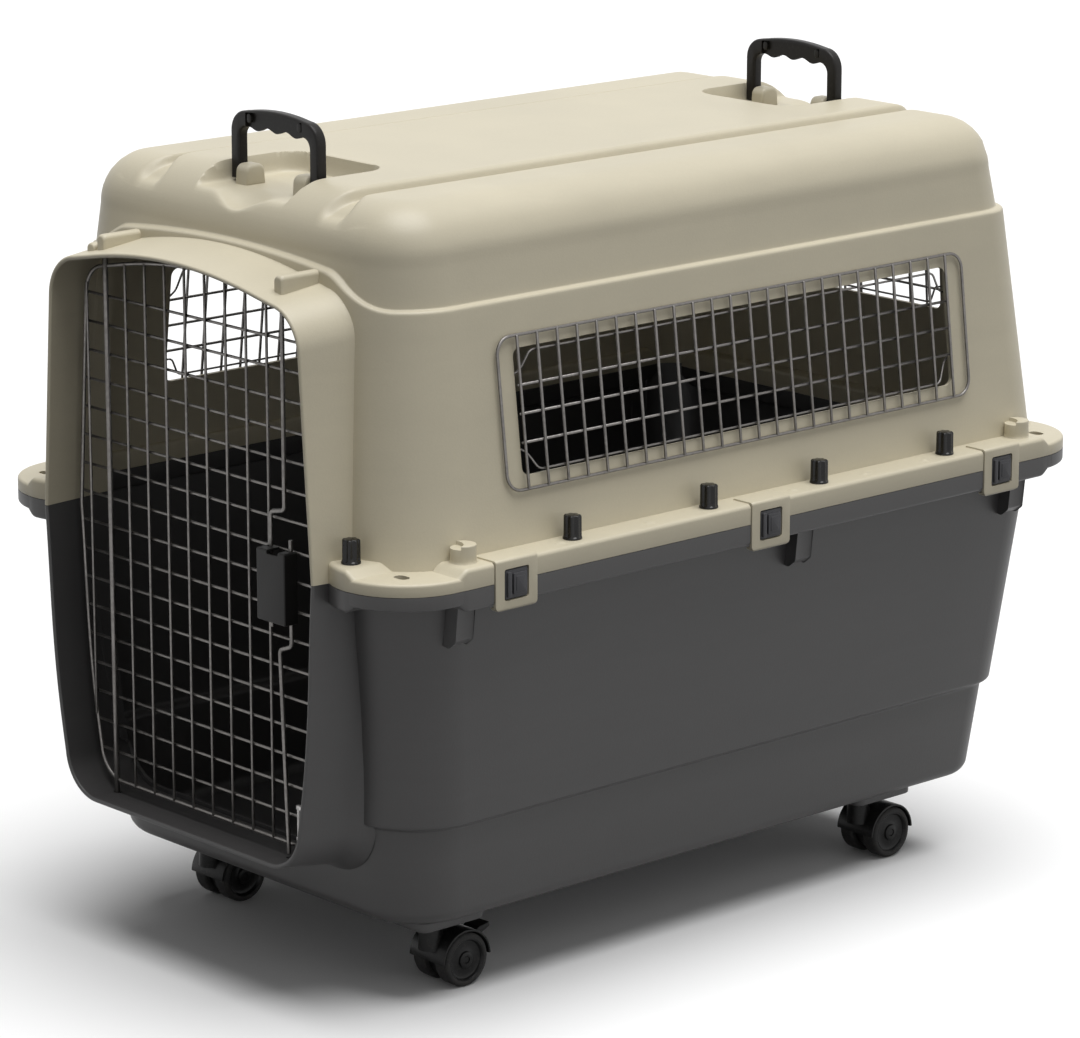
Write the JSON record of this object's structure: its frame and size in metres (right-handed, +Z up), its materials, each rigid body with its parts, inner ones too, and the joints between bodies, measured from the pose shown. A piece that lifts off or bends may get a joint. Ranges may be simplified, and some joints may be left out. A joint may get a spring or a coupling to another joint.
{
  "type": "wheeled pet travel crate",
  "caption": "Rigid two-shell pet travel crate with an arched wire door, wire side windows, folding carry handles, rim clips and small swivel castors.",
  "frame": {"origin": "on the ground under the middle of the crate's bounding box", "axes": "+Z up; +Y along the length, away from the door; +X to the right of someone who faces the door from outside"},
  "size_m": [0.6156, 0.923, 0.8125],
  "materials": {
    "shell_beige": "fine moulded grain, satin",
    "shell_grey": "fine moulded grain, satin",
    "zinc_wire": "bright zinc plated wire",
    "zinc_plate": "dull zinc plate",
    "handle_black": "satin black",
    "knob_black": "glossy black",
    "latch_slate": "satin",
    "button_grey": "satin",
    "castor_black": "satin black",
    "wheel_tread": "matt"
  },
  "bodies": {
    "crate": {"top_shell": "shell_beige", "bottom_shell": "shell_grey", "window_panel_left": "zinc_wire", "window_panel_right": "zinc_wire", "window_panel_rear": "zinc_wire", "caster_plate_front_left": "zinc_plate", "caster_plate_front_right": "zinc_plate", "caster_plate_rear_left": "zinc_plate", "caster_plate_rear_right": "zinc_plate"},
    "door": {"door_grille": "zinc_wire", "latch_box": "latch_slate", "door_pin_clip": "zinc_wire"},
    "upper_rod": {"latch_rod_upper": "zinc_wire"},
    "lower_rod": {"latch_rod_lower": "zinc_wire"},
    "front_handle": {"handle_front": "handle_black"},
    "rear_handle": {"handle_rear": "handle_black"},
    "clip_left_1": {"rim_clip_left_1": "shell_beige"},
    "button_left_1": {"clip_button_left_1": "button_grey"},
    "clip_left_2": {"rim_clip_left_2": "shell_beige"},
    "button_left_2": {"clip_button_left_2": "button_grey"},
    "clip_left_3": {"rim_clip_left_3": "shell_beige"},
    "button_left_3": {"clip_button_left_3": "button_grey"},
    "clip_right_1": {"rim_clip_right_1": "shell_beige"},
    "button_right_1": {"clip_button_right_1": "button_grey"},
    "clip_right_2": {"rim_clip_right_2": "shell_beige"},
    "button_right_2": {"clip_button_right_2": "button_grey"},
    "clip_right_3": {"rim_clip_right_3": "shell_beige"},
    "button_right_3": {"clip_button_right_3": "button_grey"},
    "knob_left_1": {"rim_knob_left_1": "knob_black"},
    "knob_left_2": {"rim_knob_left_2": "knob_black"},
    "knob_left_3": {"rim_knob_left_3": "knob_black"},
    "knob_left_4": {"rim_knob_left_4": "knob_black"},
    "knob_front_left": {"rim_knob_front_left": "knob_black"},
    "knob_rear_left": {"rim_knob_rear_left": "knob_black"},
    "knob_right_1": {"rim_knob_right_1": "knob_black"},
    "knob_right_2": {"rim_knob_right_2": "knob_black"},
    "knob_right_3": {"rim_knob_right_3": "knob_black"},
    "knob_right_4": {"rim_knob_right_4": "knob_black"},
    "knob_front_right": {"rim_knob_front_right": "knob_black"},
    "knob_rear_right": {"rim_knob_rear_right": "knob_black"},
    "castor_front_left": {"caster_frame_front_left": "castor_black"},
    "wheel_front_left_outer": {"wheel_front_left_outer": "wheel_tread"},
    "wheel_front_left_inner": {"wheel_front_left_inner": "wheel_tread"},
    "brake_front_left": {"brake_lever_front_left": "castor_black"},
    "castor_front_right": {"caster_frame_front_right": "castor_black"},
    "wheel_front_right_outer": {"wheel_front_right_outer": "wheel_tread"},
    "wheel_front_right_inner": {"wheel_front_right_inner": "wheel_tread"},
    "brake_front_right": {"brake_lever_front_right": "castor_black"},
    "castor_rear_left": {"caster_frame_rear_left": "castor_black"},
    "wheel_rear_left_outer": {"wheel_rear_left_outer": "wheel_tread"},
    "wheel_rear_left_inner": {"wheel_rear_left_inner": "wheel_tread"},
    "castor_rear_right": {"caster_frame_rear_right": "castor_black"},
    "wheel_rear_right_outer": {"wheel_rear_right_outer": "wheel_tread"},
    "wheel_rear_right_inner": {"wheel_rear_right_inner": "wheel_tread"}
  },
  "joints": [
    {"name": "door_hinge", "type": "hinge", "parent": "crate", "child": "door", "pos_m": [-0.1396, -0.4285, 0.425], "axis": [0, 0, -1], "range_deg": [0, 95]},
    {"name": "upper_rod_slide", "type": "slide", "parent": "door", "child": "upper_rod", "axis": [0, 0, 1], "range_m": [0, 0.008]},
    {"name": "lower_rod_slide", "type": "slide", "parent": "door", "child": "lower_rod", "axis": [0, 0, 1], "range_m": [-0.008, 0]},
    {"name": "front_handle_pivot", "type": "hinge", "parent": "crate", "child": "front_handle", "pos_m": [0, -0.332, 0.749], "axis": [-1, 0, 0], "range_deg": [0, 90]},
    {"name": "rear_handle_pivot", "type": "hinge", "parent": "crate", "child": "rear_handle", "pos_m": [0, 0.338, 0.749], "axis": [1, 0, 0], "range_deg": [0, 90]},
    {"name": "clip_left_1_hinge", "type": "hinge", "parent": "crate", "child": "clip_left_1", "pos_m": [-0.2796, -0.312, 0.4461], "axis": [0, 1, 0], "range_deg": [0, 95]},
    {"name": "button_left_1_press", "type": "slide", "parent": "clip_left_1", "child": "button_left_1", "axis": [1, 0, 0], "range_m": [0, 0.003], "stiffness_N_per_m": 400},
    {"name": "clip_left_2_hinge", "type": "hinge", "parent": "crate", "child": "clip_left_2", "pos_m": [-0.2796, 0.008, 0.4461], "axis": [0, 1, 0], "range_deg": [0, 95]},
    {"name": "button_left_2_press", "type": "slide", "parent": "clip_left_2", "child": "button_left_2", "axis": [1, 0, 0], "range_m": [0, 0.003], "stiffness_N_per_m": 400},
    {"name": "clip_left_3_hinge", "type": "hinge", "parent": "crate", "child": "clip_left_3", "pos_m": [-0.2796, 0.327, 0.4461], "axis": [0, 1, 0], "range_deg": [0, 95]},
    {"name": "button_left_3_press", "type": "slide", "parent": "clip_left_3", "child": "button_left_3", "axis": [1, 0, 0], "range_m": [0, 0.003], "stiffness_N_per_m": 400},
    {"name": "clip_right_1_hinge", "type": "hinge", "parent": "crate", "child": "clip_right_1", "pos_m": [0.2796, -0.312, 0.4461], "axis": [0, -1, 0], "range_deg": [0, 95]},
    {"name": "button_right_1_press", "type": "slide", "parent": "clip_right_1", "child": "button_right_1", "axis": [-1, 0, 0], "range_m": [0, 0.003], "stiffness_N_per_m": 400},
    {"name": "clip_right_2_hinge", "type": "hinge", "parent": "crate", "child": "clip_right_2", "pos_m": [0.2796, 0.008, 0.4461], "axis": [0, -1, 0], "range_deg": [0, 95]},
    {"name": "button_right_2_press", "type": "slide", "parent": "clip_right_2", "child": "button_right_2", "axis": [-1, 0, 0], "range_m": [0, 0.003], "stiffness_N_per_m": 400},
    {"name": "clip_right_3_hinge", "type": "hinge", "parent": "crate", "child": "clip_right_3", "pos_m": [0.2796, 0.327, 0.4461], "axis": [0, -1, 0], "range_deg": [0, 95]},
    {"name": "button_right_3_press", "type": "slide", "parent": "clip_right_3", "child": "button_right_3", "axis": [-1, 0, 0], "range_m": [0, 0.003], "stiffness_N_per_m": 400},
    {"name": "knob_left_1_turn", "type": "hinge", "parent": "crate", "child": "knob_left_1", "pos_m": [-0.285, -0.226, 0.4448], "axis": [0, 0, 1], "continuous": true},
    {"name": "knob_left_2_turn", "type": "hinge", "parent": "crate", "child": "knob_left_2", "pos_m": [-0.285, -0.054, 0.4448], "axis": [0, 0, 1], "continuous": true},
    {"name": "knob_left_3_turn", "type": "hinge", "parent": "crate", "child": "knob_left_3", "pos_m": [-0.285, 0.092, 0.4448], "axis": [0, 0, 1], "continuous": true},
    {"name": "knob_left_4_turn", "type": "hinge", "parent": "crate", "child": "knob_left_4", "pos_m": [-0.285, 0.266, 0.4448], "axis": [0, 0, 1], "continuous": true},
    {"name": "knob_front_left_turn", "type": "hinge", "parent": "crate", "child": "knob_front_left", "pos_m": [-0.218, -0.4315, 0.4448], "axis": [0, 0, 1], "continuous": true},
    {"name": "knob_rear_left_turn", "type": "hinge", "parent": "crate", "child": "knob_rear_left", "pos_m": [-0.15, 0.444, 0.4448], "axis": [0, 0, 1], "continuous": true},
    {"name": "knob_right_1_turn", "type": "hinge", "parent": "crate", "child": "knob_right_1", "pos_m": [0.285, -0.226, 0.4448], "axis": [0, 0, 1], "continuous": true},
    {"name": "knob_right_2_turn", "type": "hinge", "parent": "crate", "child": "knob_right_2", "pos_m": [0.285, -0.054, 0.4448], "axis": [0, 0, 1], "continuous": true},
    {"name": "knob_right_3_turn", "type": "hinge", "parent": "crate", "child": "knob_right_3", "pos_m": [0.285, 0.092, 0.4448], "axis": [0, 0, 1], "continuous": true},
    {"name": "knob_right_4_turn", "type": "hinge", "parent": "crate", "child": "knob_right_4", "pos_m": [0.285, 0.266, 0.4448], "axis": [0, 0, 1], "continuous": true},
    {"name": "knob_front_right_turn", "type": "hinge", "parent": "crate", "child": "knob_front_right", "pos_m": [0.218, -0.4315, 0.4448], "axis": [0, 0, 1], "continuous": true},
    {"name": "knob_rear_right_turn", "type": "hinge", "parent": "crate", "child": "knob_rear_right", "pos_m": [0.15, 0.444, 0.4448], "axis": [0, 0, 1], "continuous": true},
    {"name": "castor_front_left_swivel", "type": "hinge", "parent": "crate", "child": "castor_front_left", "pos_m": [-0.166, -0.296, 0.0703], "axis": [0, 0, 1], "continuous": true},
    {"name": "wheel_front_left_outer_roll", "type": "hinge", "parent": "castor_front_left", "child": "wheel_front_left_outer", "pos_m": [-0.166, -0.272, 0.026], "axis": [1, 0, 0], "continuous": true},
    {"name": "wheel_front_left_inner_roll", "type": "hinge", "parent": "castor_front_left", "child": "wheel_front_left_inner", "pos_m": [-0.166, -0.272, 0.026], "axis": [1, 0, 0], "continuous": true},
    {"name": "brake_front_left_rock", "type": "hinge", "parent": "castor_front_left", "child": "brake_front_left", "pos_m": [-0.166, -0.2437, 0.0444], "axis": [-1, 0, 0], "range_deg": [0, 12]},
    {"name": "castor_front_right_swivel", "type": "hinge", "parent": "crate", "child": "castor_front_right", "pos_m": [0.166, -0.296, 0.0703], "axis": [0, 0, 1], "continuous": true},
    {"name": "wheel_front_right_outer_roll", "type": "hinge", "parent": "castor_front_right", "child": "wheel_front_right_outer", "pos_m": [0.166, -0.272, 0.026], "axis": [1, 0, 0], "continuous": true},
    {"name": "wheel_front_right_inner_roll", "type": "hinge", "parent": "castor_front_right", "child": "wheel_front_right_inner", "pos_m": [0.166, -0.272, 0.026], "axis": [1, 0, 0], "continuous": true},
    {"name": "brake_front_right_rock", "type": "hinge", "parent": "castor_front_right", "child": "brake_front_right", "pos_m": [0.166, -0.2437, 0.0444], "axis": [-1, 0, 0], "range_deg": [0, 12]},
    {"name": "castor_rear_left_swivel", "type": "hinge", "parent": "crate", "child": "castor_rear_left", "pos_m": [-0.166, 0.278, 0.0703], "axis": [0, 0, 1], "continuous": true},
    {"name": "wheel_rear_left_outer_roll", "type": "hinge", "parent": "castor_rear_left", "child": "wheel_rear_left_outer", "pos_m": [-0.166, 0.302, 0.026], "axis": [1, 0, 0], "continuous": true},
    {"name": "wheel_rear_left_inner_roll", "type": "hinge", "parent": "castor_rear_left", "child": "wheel_rear_left_inner", "pos_m": [-0.166, 0.302, 0.026], "axis": [1, 0, 0], "continuous": true},
    {"name": "castor_rear_right_swivel", "type": "hinge", "parent": "crate", "child": "castor_rear_right", "pos_m": [0.166, 0.278, 0.0703], "axis": [0, 0, 1], "continuous": true},
    {"name": "wheel_rear_right_outer_roll", "type": "hinge", "parent": "castor_rear_right", "child": "wheel_rear_right_outer", "pos_m": [0.166, 0.302, 0.026], "axis": [1, 0, 0], "continuous": true},
    {"name": "wheel_rear_right_inner_roll", "type": "hinge", "parent": "castor_rear_right", "child": "wheel_rear_right_inner", "pos_m": [0.166, 0.302, 0.026], "axis": [1, 0, 0], "continuous": true}
  ],
  "couplings": [
    {"joint": "lower_rod_slide", "follows": "upper_rod_slide", "ratio": -1}
  ]
}
